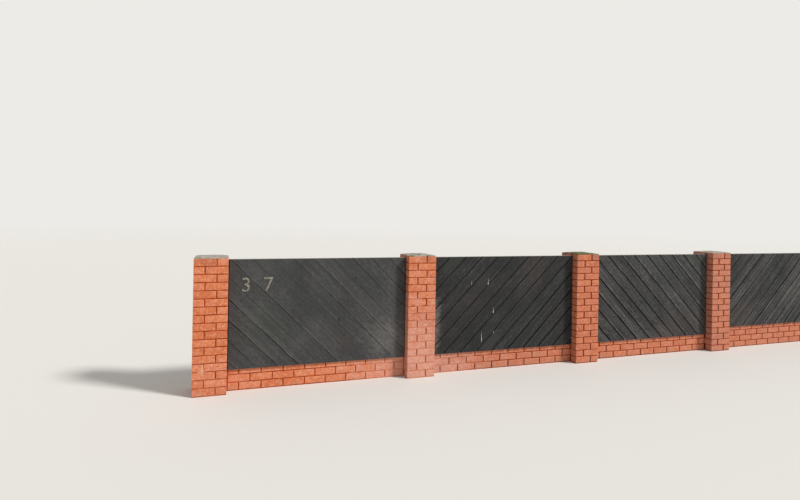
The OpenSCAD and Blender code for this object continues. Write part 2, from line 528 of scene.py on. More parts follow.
# size across of a brick's swells, its chips and the nibbles in its arrises
SWELL_SIZE, CHIP_SIZE, NIBBLE_SIZE = 0.05, 0.025, 0.009
# depth of its swells and chips, and how far chips and rubbing reach in from an arris
SWELL_DEPTH, CHIP_DEPTH = 0.0007, 0.010
CHIP_REACH, WEAR_REACH = 0.008, 0.004
# an arris is chipped where the noise passes this level, and nibbled by this share of a chip
CHIP_LEVEL, NIBBLE_SHARE = 0.25, 0.12
# how pale an arris has been rubbed, and the depth at which a chip is wholly pale
RUBBED, PALE_CHIP = 0.6, 0.002
# how far laid bricks stray from true: tilt in radians, shift along, across and up in metres
TILT_SPREAD = 0.002
SHIFT_SPREADS = (0.0005, 0.0003, 0.0003)
# shade of the bricks from 0, the deepest, to 1, the palest
SHADE, SHADE_SPREAD = 0.48, 0.17
# mesh of the mortar: steps along and through the wall, width of its edges, and of the slope beside a bed
MORTAR_STEP, MORTAR_DEEP_STEP = 0.016, 0.03
MORTAR_EDGE, BED_SLOPE = 0.002, 0.004
# depth and size across of its roughness, and how far its top lies below the bricks'
MORTAR_ROUGH, MORTAR_ROUGH_SIZE, MORTAR_SUNK = 0.0011, 0.018, 0.002
# what fills the joints stops this much short of the bricks' faces
FILL_SHORT = 0.0004
# how much of its strength a pale patch has where it fills and where it colours the joints, and the shade
# painted into the joints, in the beds and in the upright joints
PATCH_FILL, PATCH_COAT, JOINT_SHADE_COAT = (0.9, 0.3), (1.0, 0.25), (0.6, 1.0)
# a smear ends at this share of its reach, give or take its ragged edge
SMEAR_END, SMEAR_RAGGED = 1.3, 0.5
# mortar smeared over the bricks low on the first pier: each smear's middle and reach, in metres, and strength
SMEARS = {
    "pier_1": (
        ((-4.872, -0.175, 0.30), (0.016, 0.03, 0.06), 1.0),
        ((-4.890, -0.175, 0.258), (0.04, 0.03, 0.012), 1.0),
    )
}
# paler, pinker patches over the second pier and the brickwork beside it, and thinly over the first pier's
# foot
PALE_PATCHES = (((-2.4, -0.175, 0.0), (0.8, 0.6, 0.95), 1.0), ((-4.8, -0.175, 0.05), (0.5, 0.5, 0.33), 0.15))
PATCH_RAGGED = 0.09
# how much paler than usual the bricks are, a greyish cement film over them, the width and the depth of the
# upright joints as shares of the usual, and how much shade is painted into the joints, for each pier and each
# plinth
BrickLook = namedtuple("BrickLook", "pale film upright rake dirt")
PIER_LOOKS = (
    BrickLook(0.03, 0.0, 0.82, 0.42, 0.0),
    BrickLook(0.0, 0.2, 1.00, 0.85, 0.2),
    BrickLook(-0.25, 0.6, 1.30, 1.00, 0.9),
    BrickLook(0.0, 1.3, 1.40, 1.00, 1.0),
    BrickLook(0.0, 1.2, 1.35, 1.00, 1.0),
)
PLINTH_LOOKS = (
    BrickLook(0.2, 0.0, 0.85, 0.40, 0.0),
    BrickLook(-0.25, 0.9, 1.05, 1.00, 0.6),
    BrickLook(0.0, 0.7, 1.10, 1.00, 0.8),
    BrickLook(0.0, 0.9, 1.15, 1.00, 0.9),
)


def worn_bricks(look):
    """The lengths of a whole and a half brick, each with a few differently worn ones that lie along X."""
    kinds = {}
    for name, module in (("whole", look.module), ("half", look.module / 2)):
        length = module - look.upright_joint
        size = (length, look.brick_wide, look.course - look.joint)
        lines = [edge_lines(-s / 2, s / 2, look.arris, step) for s, step in zip(size, BRICK_STEPS)]
        points, normals, to_arris, faces = rounded_box(lines, look.arris)
        near = np.clip(1 - to_arris / CHIP_REACH, 0, 1)
        bricks = []
        for seed in range(WEAR_KINDS):
            dip = SWELL_DEPTH * np.abs(ripple(points, SWELL_SIZE, seed + 1))
            bitten = np.maximum(0, ripple(points, CHIP_SIZE, seed + 40) - CHIP_LEVEL)
            nibbled = np.maximum(0, ripple(points, NIBBLE_SIZE, seed + 80)) * NIBBLE_SHARE
            chips = (bitten + nibbled) * CHIP_DEPTH * near
            worn = points - normals * (dip + chips)[:, None]
            wear = np.clip(1 - to_arris / WEAR_REACH, 0, 1) * RUBBED + np.clip(chips / PALE_CHIP, 0, 1)
            bricks.append((worn, np.clip(wear, 0, 1), faces))
        kinds[name] = length, bricks
    return kinds


def smeared(points, smears, ragged=0.03):
    """How much is smeared over each point, from the smears' middles, reaches and strengths."""
    most = np.zeros(len(points))
    for centre, reach, strength in smears:
        distance = np.linalg.norm((points - np.array(centre)) / np.array(reach), axis=1)
        if distance.min() < SMEAR_END + SMEAR_RAGGED:
            share = np.clip(SMEAR_END - distance + SMEAR_RAGGED * ripple(points, ragged, 5), 0, 1)
            most = np.maximum(most, strength * share)
    return most


def lay_brick(heap, kind, low, high, along, dice, limits, joints, smears):
    """Lays one brick of a kind in the box from low to high, with its length along X or Y."""
    length, bricks = kind
    points, wear, faces = bricks[dice.randrange(WEAR_KINDS)]
    low, high = np.array(low), np.array(high)
    points = points * ((high - low)["XY".index(along)] / length, 1.0, 1.0)
    turn = Matrix.Rotation(math.pi / 2 if along == "Y" else 0.0, 3, "Z")
    for axis in "XZ":
        if dice.random() < 0.5:
            turn = turn @ Matrix.Rotation(math.pi, 3, axis)
    tilt = Matrix.Rotation(dice.gauss(0, TILT_SPREAD), 3, "Y")
    tilt = tilt @ Matrix.Rotation(dice.gauss(0, TILT_SPREAD), 3, "Z")
    shift = np.array([dice.gauss(0, spread) for spread in SHIFT_SPREADS])
    placed = np.clip(points @ np.array(tilt @ turn).T + (low + high) / 2 + shift, *limits)
    values = {
        "tone": min(1.0, max(0.0, joints.pale + dice.gauss(SHADE, SHADE_SPREAD))),
        "smear": smeared(placed, smears),
        "slurry": smeared(placed, PALE_PATCHES, PATCH_RAGGED),
    }
    heap.add(placed, faces, wear=wear, film=joints.film, **values)


def pier_course(look, upright, low, high, odd):
    """Four bricks in a pinwheel, turned the other way in every other course."""
    wide = look.brick_wide
    long = high[0] - low[0] - wide - upright
    spans = (
        ((low[0], low[0] + long), (low[1], low[1] + wide), "X"),
        ((high[0] - wide, high[0]), (low[1], low[1] + long), "Y"),
        ((high[0] - long, high[0]), (high[1] - wide, high[1]), "X"),
        ((low[0], low[0] + wide), (high[1] - long, high[1]), "Y"),
    )
    for (x0, x1), y_span, along in spans:
        if not odd:
            x0, x1 = low[0] + high[0] - x1, low[0] + high[0] - x0
        yield "whole", (x0, x1), y_span, along


def plinth_course(look, upright, low, high, odd):
    """One skin of bricks in half bond, with the half brick at one end or the other."""
    # joints of equal width at the two piers
    end_joint = ((high[0] - low[0] + upright) % (look.module / 2)) / 2
    x = low[0] + end_joint
    while x < high[0] - end_joint - MM:
        is_half = (odd and x < low[0] + 2 * end_joint) or high[0] - x < look.module - upright
        length = (look.module / 2 if is_half else look.module) - upright
        yield "half" if is_half else "whole", (x, x + length), (low[1], high[1]), "X"
        x += length + upright


def mortar_block(heap, look, joints, low, high, uprights, smears, seed):
    """The mortar between the bricks: hollowed along its beds, and further back in its upright joints."""
    rake, bed_fill = look.rake * joints.rake, look.bed_fill * joints.rake
    bed, course = look.joint, look.course
    # the lattice's lines in a course: three over the bed joint, three over the upright joints
    lines = (0.0, bed / 2, bed, bed + BED_SLOPE, course / 2, course - BED_SLOPE)
    levels = np.append(np.add.outer(np.arange(low[2], high[2] - MM, course), lines).ravel(), high[2])
    across = np.append(edge_lines(low[0], high[0], MORTAR_EDGE, MORTAR_STEP), uprights)
    deep = edge_lines(low[1], high[1], MORTAR_EDGE, MORTAR_DEEP_STEP)
    points, index, faces = box_lattice([np.unique(np.round(across, 5)), deep, levels])
    side = (points > high - TOUCH).astype(float) - (points < low + TOUCH)
    side[:, 2] = 0
    line = index[:, 2] % len(lines)
    in_bed = line < 3
    smear = smeared(points, smears)
    slurry = smeared(points, PALE_PATCHES, PATCH_RAGGED)
    rough = MORTAR_ROUGH * np.abs(ripple(points, MORTAR_ROUGH_SIZE, seed))
    out = in_bed * bed_fill - look.bed_hollow * (line == 1) - rough
    # where a pale patch lies, the beds are filled nearly to the bricks' faces and most of the upright joints
    # are left open
    filled = np.maximum(smear, slurry * np.where(in_bed, *PATCH_FILL))
    out = out * (1 - filled) + filled * (rake - FILL_SHORT)
    patch_share = slurry * np.where(in_bed, *PATCH_COAT)
    # painted shade in the joints, stronger in the upright joints than in the beds
    dirt = joints.dirt * np.where(in_bed, *JOINT_SHADE_COAT)
    heap.add(points + side * out[:, None], faces, [1] * len(faces), smear=smear, slurry=patch_share, dirt=dirt)


def build_brickwork(look, stem, looks, course_spans, seeds):
    """The bricks and the mortar of each pier or each plinth. seeds is where those of the bricks and those of
    the mortar start."""
    kinds = worn_bricks(look)
    # the piers and the plinths share their materials
    materials = [bpy.data.materials.get(name) for name in ("fired_clay_wire_cut", "tinted_mortar_raked")]
    if not all(materials):
        materials = [brick_material(look), mortar_material(look)]
    for number, joints in enumerate(looks, 1):
        node = f"{stem}_{number}"
        low, high = np.array(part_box(node))
        smears = SMEARS.get(node, ())
        upright = look.upright_joint * joints.upright
        dice = random.Random(seeds[0] + number)
        heap = Heap("tone", "wear", "smear", "film", "slurry", "dirt")
        courses = round((high[2] - low[2]) / look.course)
        for course in range(courses):
            bottom = low[2] + course * look.course + look.joint
            top = low[2] + (course + 1) * look.course
            # the courses alternate, counted from the top one, which is odd
            odd = (courses - course) % 2 == 1
            for kind, (x0, x1), (y0, y1), along in course_spans(look, upright, low, high, odd):
                box = (x0, y0, bottom), (x1, y1, top)
                lay_brick(heap, kinds[kind], *box, along, dice, (low, high), joints, smears)
        rake = look.rake * joints.rake
        # a pier's mortar is raked on all sides, and a plinth's runs on into the piers
        is_pier = stem == "pier"
        inset = np.array([rake if is_pier else -rake, rake, 0])
        edges = (look.brick_wide, look.brick_wide + upright) if is_pier else ()
        uprights = [low[0] + edge for edge in edges] + [high[0] - edge for edge in edges]
        inner = low + inset, high - inset - np.array([0, 0, MORTAR_SUNK])
        mortar_block(heap, look, joints, *inner, uprights, smears, seeds[1] + number)
        heap.piece(f"{node}_brickwork", materials, [node])


class WALL_OT_piers(bpy.types.Operator):
    """Lays the bricks of the five piers"""

    bl_idname = "garden_wall.piers"
    bl_label = "Brick piers"

    def execute(self, context):
        build_brickwork(context.scene.wall_brickwork, "pier", PIER_LOOKS, pier_course, (100, 10))
        return {"FINISHED"}


class WALL_OT_plinths(bpy.types.Operator):
    """Lays the bricks of the plinths between the piers"""

    bl_idname = "garden_wall.plinths"
    bl_label = "Brick plinths"

    def execute(self, context):
        build_brickwork(context.scene.wall_brickwork, "plinth", PLINTH_LOOKS, plinth_course, (200, 30))
        return {"FINISHED"}


# cappings

CAP_CELLS = 34
# radius of a capping's edges, upright share of its rise, and half the width of its flat middle
CAP_ARRIS, CAP_EDGE, CAP_FLAT = 0.004, 0.4, 0.085
# trowel marks, moss and the ragged edge: height, size in metres, and what each adds to the seed
TROWEL = ((0.0016, 0.05, 0), (0.0007, 0.015, 9))
MOSS = ((0.5, 0.06, 20), (0.25, 0.02, 30))
CAP_RAGGED = ((0.003, 0.03, 50),)
# how far the trowelled slopes lie below the full rise, how high the moss stands, and how sharply it ends
CAP_SUNK, MOSS_HIGH, MOSS_SHARP = 0.0012, 0.0015, 4
# width of the ragged strip along the edge
RAGGED_WIDE = 0.006
# share of each capping that moss has taken, from the first pier to the last
CAP_GROWTH = (0.12, 0.45, 0.85, 0.4, 0.5)


class WALL_OT_cappings(bpy.types.Operator):
    """Trowels the cement cappings of the piers"""

    bl_idname = "garden_wall.cappings"
    bl_label = "Cement cappings"

    def execute(self, context):
        material = capping_material(context.scene.wall_brickwork)
        for number, mossy in enumerate(CAP_GROWTH, 1):
            node = f"pier_cap_{number}"
            low, high = np.array(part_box(node))
            middle, half = (low + high) / 2, (high[0] - low[0]) / 2
            rise = high[2] - low[2]
            edge = rise * CAP_EDGE
            lines = [edge_lines(low[axis], high[axis], CAP_ARRIS, 2 * half / CAP_CELLS) for axis in (0, 1)]
            points, index, faces = box_lattice([*lines, low[2] + np.array([0, edge / 2, edge])])
            out = points[:, :2] - middle[:2]
            reach = np.abs(out).max(axis=1)
            slope = np.clip((half - reach) / (half - CAP_FLAT), 0, 1)
            growth = np.clip((waves(points, number, MOSS) + mossy - 0.5) * MOSS_SHARP, 0, 1)
            top = (rise - edge) * slope + waves(points, number, TROWEL) - CAP_SUNK + MOSS_HIGH * growth
            points[:, 2] += (index[:, 2] == 2) * top
            ragged = np.abs(waves(points, number, CAP_RAGGED)) * (reach > half - RAGGED_WIDE)
            points[:, :2] -= out / half * ragged[:, None]
            points[:, 2] = np.clip(points[:, 2], low[2], high[2])
            heap = Heap("growth")
            heap.add(points, faces, growth=growth)
            heap.piece(f"pier_{number}_capping", [material], [node], sharp=60)
        return {"FINISHED"}


# boards

# where the first joint meets each panel's top edge, from the panel's left end, in metres
FIRST_JOINT = (0.240, 0.218, 0.225, 0.131)
# a joint that would cut off less than this at a corner is left out
CORNER_KEEP = 0.030
# how wide the open joints have become, as shares of the usual: most of a bay's joints, and those that stand
# out, counted from the bay's first. The first bay's have nearly closed and the third's have opened
OPEN_JOINTS = (
    (0.4, {2: 0.6, 3: 0.6, 4: 0.1, 6: 0.1, 7: 0.1, 10: 0.2}),
    (0.8, {9: 1.2, 10: 1.2, 11: 1.3, 12: 1.1, 13: 1.1}),
    (1.2, {0: 1.5, 1: 1.5, 2: 1.5, 3: 1.5, 4: 1.5}),
    (1.0, {1: 0.7, 2: 0.3, 3: 1.3, 5: 0.4, 7: 1.5, 11: 1.5}),
)
# each bay's usual shade, how much its boards differ, how strongly sapwood bands, growth rings and flecks
# show in it, and how far a board has worn along its edges where its joint is of the usual width
BayLook = namedtuple("BayLook", "shade spread bands rings flecks worn")
BAY_LOOKS = (
    BayLook(0.50, 0.02, 0.25, 0.10, 0.45, 1.40),
    BayLook(0.23, 0.02, 0.20, 0.90, 0.95, 0.25),
    BayLook(0.43, 0.05, 0.60, 0.90, 1.00, 0.65),
    BayLook(0.41, 0.09, 1.00, 0.60, 1.00, 0.60),
)
# where the boards beside the second pier are paler in specks: middle, reach and strength
PALE_SPECK_PATCHES = (((-2.23, -0.077, 0.60), (0.13, 0.1, 0.42), 1.0), ((-2.8, -0.077, 0.45), (0.4, 0.1, 0.34), 0.6))
# a worn edge is paler by this share of the stain's range, and fades over this width
EDGE_PALER, PALE_EDGE = 0.17, 0.03
# how strongly a board's first and second edge wear, and the length of a worn stretch
EDGE_WORN, WORN_SIZE = (0.8, 0.4), 0.15
# most that a board's edge wanders, as a length and as a share of the joint beside it, and over what length
EDGE_WANDER, WANDER_SHARE, WANDER_SIZE = 0.002, 0.3, 0.35
# how far a board's face sways, and over what length
SWAY, SWAY_SIZE = 0.0005, 0.4
# the least and the most that a board has cupped, in mm, and the clearance of a tongue
CUPPED, TONGUE_CLEAR = (-0.6, 0.9), 0.0003
# mesh steps along and across a board, the line beside its arris, and its length to spare before it is cut
BOARD_STEP, BOARD_CELL, WORN_LINE, BOARD_SPARE = 0.05, 0.02, 0.0015, 0.2
Bay = namedtuple("Bay", "low high along across corner first last")


def bay_of(number, look):
    """A bay's panel box, the directions along and across its boards in X and Z, where joint 0 starts, and the
    numbers of the first and the last joint that cut the panel."""
    low, high = np.array(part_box(f"board_panel_{number}"))
    cos, sin = math.cos(look.slant), math.sin(look.slant)
    # the boards lean down to the right in the odd bays
    fall = 1 if number % 2 else -1
    start = FIRST_JOINT[number - 1]
    reach = (high[2] - low[2]) / math.tan(look.slant)
    left, right = (-reach, 0.0) if fall > 0 else (0.0, reach)
    step = look.pitch / sin
    first = math.ceil((left + CORNER_KEEP - start) / step)
    last = math.floor((high[0] - low[0] + right - CORNER_KEEP - start) / step)
    corner = np.array([low[0] + start, high[2]])
    return Bay(low, high, np.array([cos, -fall * sin]), np.array([sin, fall * cos]), corner, first, last)


def board_section(v0, v1, gap, look, thickness):
    """A board's outline across its length: eased arrises, a rebate on its first edge, and a tongue on the
    other that closes the gap to the next board."""
    depth, ease = look.joint_depth, look.arris
    tongue, rebate = gap + look.lap, look.lap + MM
    inset = ease + WORN_LINE
    cells = max(2, round((v1 - v0) / BOARD_CELL))
    return [
        (v0, depth),
        (v0, 2 * ease),
        (v0, ease),
        *((v, 0.0) for v in (v0 + ease, *np.linspace(v0 + inset, v1 - inset, cells + 1), v1 - ease)),
        (v1, ease),
        (v1, 2 * ease),
        (v1, depth + TONGUE_CLEAR),
        (v1 + tongue, depth + TONGUE_CLEAR),
        *((v, thickness) for v in np.linspace(v1 + tongue, v0 + rebate, cells)),
        (v0 + rebate, depth),
    ]


def make_board(section, span, bay, bend, wander, seed):
    """One board as a closed mesh: the section run along the slant, cupped a little, cut to the panel's box.
    wander is how far its first and its second edge stray along its length. The sawn faces are marked."""
    section = np.array(section)
    on_face = section[:, 1] < TOUCH
    half_width = np.ptp(section[on_face, 0]) / 2
    off_middle = (section[:, 0] - section[on_face, 0].mean()) / half_width
    # the middle and the edges of a cupped board move opposite ways
    cup = bend * (off_middle**2 - 0.4)
    share = np.clip(off_middle, -1, 1) / 2 + 0.5
    rows = []
    for u in np.linspace(*span, max(2, round((span[1] - span[0]) / BOARD_STEP)) + 1):
        stray = [
            most * noise.noise(Vector((u / WANDER_SIZE, seed * 2.3 + edge * 9.1, 4)))
            for edge, most in enumerate(wander)
        ]
        across_by = section[:, 0] + (1 - share) * stray[0] + share * stray[1]
        flat = bay.corner + u * bay.along + across_by[:, None] * bay.across
        sway = SWAY * noise.noise(Vector((u / SWAY_SIZE, seed * 1.7, 0)))
        depth = bay.low[1] + section[:, 1] + np.maximum(0, cup + sway) * on_face
        rows.append(np.stack([flat[:, 0], depth, flat[:, 1]], axis=1))
    mesh = bmesh.new()
    points = [mesh.verts.new(point) for point in np.concatenate(rows)]
    for face in skin(len(rows), len(section)):
        mesh.faces.new([points[i] for i in face])
    ends = [(axis, sign, box[axis]) for axis in (0, 2) for sign, box in ((-1, bay.low), (1, bay.high))]
    for axis, sign, place in ends:
        normal, at = Vector((0, 0, 0)), Vector((0, 0, 0))
        normal[axis], at[axis] = sign, place
        bmesh.ops.bisect_plane(
            mesh,
            geom=mesh.verts[:] + mesh.edges[:] + mesh.faces[:],
            dist=TOUCH,
            plane_co=at,
            plane_no=normal,
            clear_outer=True,
        )
        open_edges = [edge for edge in mesh.edges if edge.is_boundary]
        if open_edges:
            bmesh.ops.holes_fill(mesh, edges=open_edges, sides=0)
    bmesh.ops.recalc_face_normals(mesh, faces=mesh.faces[:])
    bmesh.ops.triangulate(mesh, faces=[face for face in mesh.faces if len(face.verts) > 4])
    mesh.verts.index_update()
    points = np.array([vert.co for vert in mesh.verts])
    faces = [[vert.index for vert in face.verts] for face in mesh.faces]
    mesh.free()
    sawn = [
        any(np.all(np.abs(points[face, axis] - place) < CUT_TOUCH) for axis, _, place in ends)
        for face in faces
    ]
    return points, faces, sawn


def lay_boards(heap, look, number, bay_look):
    """Cuts the boards of one bay and lays them in its panel."""
    dice = random.Random(300 + number)
    bay = bay_of(number, look)
    corners = np.array([(x, z) for x in (bay.low[0], bay.high[0]) for z in (bay.low[2], bay.high[2])])
    reach = (corners - bay.corner) @ bay.along
    span = (reach.min() - BOARD_SPARE, reach.max() + BOARD_SPARE)
    most, others = OPEN_JOINTS[number - 1]
    joints = range(bay.first - 1, bay.last + 2)
    widths = {joint: look.open_joint * others.get(joint - bay.first, most) for joint in joints}
    for board in joints[:-1]:
        beside = widths[board], widths[board + 1]
        v0 = board * look.pitch + beside[0] / 2
        v1 = (board + 1) * look.pitch - beside[1] / 2
        # the corner boards take in the sliver beyond the last joint
        v0 -= CORNER_KEEP * (board == bay.first - 1)
        v1 += CORNER_KEEP * (board == bay.last)
        section = board_section(v0, v1, beside[1], look, bay.high[1] - bay.low[1])
        bend = dice.uniform(*CUPPED) * MM
        wander = [min(EDGE_WANDER, WANDER_SHARE * width) for width in beside]
        points, faces, sawn = make_board(section, span, bay, bend, wander, board)
        flat = points[:, [0, 2]] - bay.corner
        depth = points[:, 1] - bay.low[1]
        u, v = flat @ bay.along, flat @ bay.across
        # every board draws on its own part of the grain
        grain = np.stack([u + 7.3 * board + 31 * number, v, np.full(len(u), 1.7 * board)], axis=1)
        # where a joint has opened, the weather has got at the edges beside it
        worn = [bay_look.worn * width / look.open_joint for width in beside]
        on_arris = [inward < look.arris + EDGE_WANDER for inward in (v - v0, v1 - v)]
        rubbed = sum(share * much * near for share, much, near in zip(EDGE_WORN, worn, on_arris))
        wear = rubbed * (depth < look.arris + BENT_TOUCH) * (0.6 + 0.6 * ripple(points, WORN_SIZE, board))
        paler = worn[0] * EDGE_PALER * np.exp(-np.maximum(0, v - v0) / PALE_EDGE)
        values = {
            "grain": grain,
            "tone": bay_look.shade + dice.uniform(-bay_look.spread, bay_look.spread) + paler,
            "wear": np.clip(wear, 0, 1),
            # the walls and the floor of each open joint, painted near black for the shade in the gap and some
            # dirt
            "recess": (depth > 2 * look.arris - BENT_TOUCH) & (depth < look.joint_depth + MM),
            "spatter": smeared(points, PALE_SPECK_PATCHES),
        }
        heap.add(points, faces, sawn, **values, **bay_look._asdict())


class WALL_OT_panels(bpy.types.Operator):
    """Cuts and lays the slanting boards of each bay"""

    bl_idname = "garden_wall.panels"
    bl_label = "Slanting boards"

    def execute(self, context):
        look = context.scene.wall_boards
        timber = timber_material("softwood_planed_black_stain", look, sawn=False)
        materials = [timber, end_grain_material(look)]
        for number, bay_look in zip(BAY_NUMBERS, BAY_LOOKS):
            heap = Heap("grain", "tone", "wear", "recess", "spatter", "bands", "rings", "flecks")
            lay_boards(heap, look, number, bay_look)
            heap.piece(f"bay_{number}_boards", materials, [f"board_panel_{number}"])
        return {"FINISHED"}


# framing

FRAME_PARTS = ("top_rail", "middle_rail", "bottom_rail", "left_batten", "right_batten")
# how the framing looks, in the same terms as a bay's boards
FRAME_LOOK = BayLook(0.5, 0.0, 0.4, 0.4, 0.3, 0.5)
FRAME_ARRIS = 0.003
# mesh steps along and across a rail or batten, and the depth and size across of its unevenness
FRAME_STEP, FRAME_CELL = 0.08, 0.02
FRAME_ROUGH, FRAME_ROUGH_SIZE = 0.0008, 0.06


class WALL_OT_framing(bpy.types.Operator):
    """Saws the rails and battens behind the boards"""

    bl_idname = "garden_wall.framing"
    bl_label = "Rails and battens"

    def execute(self, context):
        material = timber_material("softwood_sawn_black_stain", context.scene.wall_boards, sawn=True)
        for place, part in enumerate(FRAME_PARTS):
            for number in BAY_NUMBERS:
                name = f"{part}_{number}"
                seed = len(name) * 7 + number + place * 11
                low, high = np.array(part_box(name))
                run = int(np.argmax(high - low))
                steps = [FRAME_STEP if axis == run else FRAME_CELL for axis in range(3)]
                lines = [edge_lines(low[axis], high[axis], FRAME_ARRIS, steps[axis]) for axis in range(3)]
                points, normals, to_arris, faces = rounded_box(lines, FRAME_ARRIS)
                rough = FRAME_ROUGH * np.abs(ripple(points, FRAME_ROUGH_SIZE, seed))
                points = points - normals * rough[:, None]
                # the grain runs along the piece, and every piece draws on its own part of it
                along, across = points[:, run] + seed * 3.1, points[:, 2 - run] + points[:, 1]
                grain = np.stack([along, across, np.full(len(points), seed * 1.3)], axis=1)
                heap = Heap("grain", "tone", "wear", "bands", "rings", "flecks")
                wear = FRAME_LOOK.worn * (to_arris < TOUCH)
                heap.add(points, faces, grain=grain, tone=FRAME_LOOK.shade, wear=wear, **FRAME_LOOK._asdict())
                heap.piece(f"{name}_timber", [material], [name], sharp=50)
        return {"FINISHED"}


# fixings

# outlines of the turned heads, from the axis out and back to it: shares of the radius, and heights in mm
NAIL_OUTLINE = ((0, -2), (0.8, -2), (1, 0), (0.85, 0.7), (0.5, 1.0), (0, 1.1))
WASHER_OUTLINE = ((0, 0), (0.9769, 0), (1, 0.3), (1, 1.7), (0.9769, 2), (0, 2))
ANCHOR_OUTLINE = ((0, 2), (1, 2), (1, 9), (0.86, 10.5), (0, 10.5))
# where the nails stand across a board, and the anchors up a batten, as shares of its width and height
NAIL_SHARES = (0.2, 0.8)
ANCHOR_SHARES = (0.24, 0.74)
# no nail comes nearer than this to the end of a rail
NAIL_KEEP = 0.02


def turned_solid(outline, radius, segments):
    """The points and faces of a solid turned about Z from its outline."""
    points = [(0.0, 0.0, outline[0][1] * MM)]
    for share, height in outline[1:-1]:
        for angle in 2 * math.pi * np.arange(segments) / segments:
            points.append((radius * share * math.cos(angle), radius * share * math.sin(angle), height * MM))
    points.append((0.0, 0.0, outline[-1][1] * MM))
    top = len(points) - 1 - segments
    faces = []
    for n in range(segments):
        m = (n + 1) % segments
        faces.append((0, 1 + m, 1 + n))
        for ring in range(1, top, segments):
            faces.append((ring + n, ring + m, ring + segments + m, ring + segments + n))
        faces.append((top + n, top + m, top + segments))
    return np.array(points), faces


def set_at(heap, solid, direction, place):
    """Adds a turned solid at a place, with its axis in the given direction."""
    points, faces = solid
    turn = Vector((0, 0, 1)).rotation_difference(Vector(direction)).to_matrix()
    heap.add(points @ np.array(turn).T + np.array(place), faces)


class WALL_OT_fixings(bpy.types.Operator):
    """Drives the boards' nails and the battens' wall anchors"""

    bl_idname = "garden_wall.fixings"
    bl_label = "Nails and anchors"

    def execute(self, context):
        look = context.scene.wall_boards
        sizes = context.scene.wall_fixings
        # steel nails, galvanised, then stained over: dull grey-black with a trace of rust
        nail_finish = plain_material("steel_galvanised_stained_over", "#3B3936", "#4E4942", 0.03, 0.65)
        # steel anchors, zinc-plated: dull silver going to rust
        zinc = plain_material("steel_zinc_plated_dulled", "#7A6F62", "#9C9A94", 0.012, 0.5, metallic=0.8)
        nail = turned_solid(NAIL_OUTLINE, sizes.nail_head / 2, 10)
        washer = turned_solid(WASHER_OUTLINE, sizes.washer / 2, 24)
        head = turned_solid(ANCHOR_OUTLINE, sizes.anchor_head / 2 / math.cos(math.pi / 6), 6)
        for number in BAY_NUMBERS:
            bay = bay_of(number, look)
            nails = Heap()
            for rail in FRAME_PARTS[:3]:
                rail_low, rail_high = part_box(f"{rail}_{number}")
                level = (rail_low[2] + rail_high[2]) / 2
                for board in range(bay.first - 1, bay.last + 1):
                    for share in NAIL_SHARES:
                        v = (board + share) * look.pitch
                        u = (level - bay.corner[1] - v * bay.across[1]) / bay.along[1]
                        x = bay.corner[0] + u * bay.along[0] + v * bay.across[0]
                        if bay.low[0] + NAIL_KEEP < x < bay.high[0] - NAIL_KEEP:
                            set_at(nails, nail, (0, -1, 0), (x, bay.low[1], level))
            nails.piece(f"bay_{number}_nails", [nail_finish], sharp=50)
            anchors = Heap()
            for side, direction in (("left", 1), ("right", -1)):
                low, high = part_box(f"{side}_batten_{number}")
                face = high[0] if side == "left" else low[0]
                for share in ANCHOR_SHARES:
                    place = (face, (low[1] + high[1]) / 2, low[2] + share * (high[2] - low[2]))
                    for solid in (washer, head):
                        set_at(anchors, solid, (direction, 0, 0), place)
            anchors.piece(f"bay_{number}_wall_anchors", [zinc])
        return {"FINISHED"}


# numerals and streaks

# each numeral, and its middle from the panel's left end, in metres
NUMERALS = (("3", 0.175), ("7", 0.420))
NUMERAL_FOOT = 1.083
NUMERAL_BEVEL = 0.0006
# lime streaks on the second bay: from the panel's left end, height of the top, length and width, in metres
STREAKS = (
    (0.520, 1.145, 0.060, 0.007),
    (0.756, 1.165, 0.085, 0.010),
    (0.838, 0.790, 0.075, 0.014),
    (0.673, 0.490, 0.140, 0.010),
    (0.842, 0.490, 0.030, 0.009),
)
STREAK_ROWS, STREAK_SPOKES = 25, 8
# length of the ragged stretches of a streak's edges, how far it sways, and over what length
STREAK_RAGGED, STREAK_SWAY, STREAK_SWAY_SIZE = 0.03, 0.004, 0.06
# thickness of a streak, and its least half width and least thickness at its ends
STREAK_THICK, STREAK_LEAST = 0.0009, (0.0004, 0.0001)


